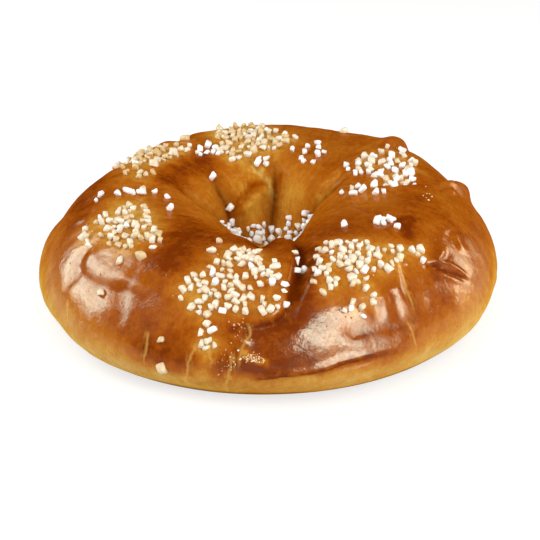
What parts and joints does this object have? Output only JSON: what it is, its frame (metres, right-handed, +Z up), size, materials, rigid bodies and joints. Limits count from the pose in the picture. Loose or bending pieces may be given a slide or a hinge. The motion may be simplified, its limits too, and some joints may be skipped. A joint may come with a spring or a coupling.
{
  "type": "brioche king cake",
  "caption": "Round baked brioche ring whose hole has closed to a deep dimple, with soft folds in its glossy egg-washed crust and clusters of pearl sugar.",
  "frame": {"origin": "middle of the flat underside, where the cake stands on its tray", "axes": "+Z up out of the dimple, -Y towards the side that the picture shows in front, +X to its right"},
  "size_m": [0.2744, 0.2689, 0.0866],
  "materials": {
    "crust": "gloss",
    "pearl_sugar": "matte"
  },
  "bodies": {
    "root": {"brioche": "crust"}
  },
  "joints": []
}
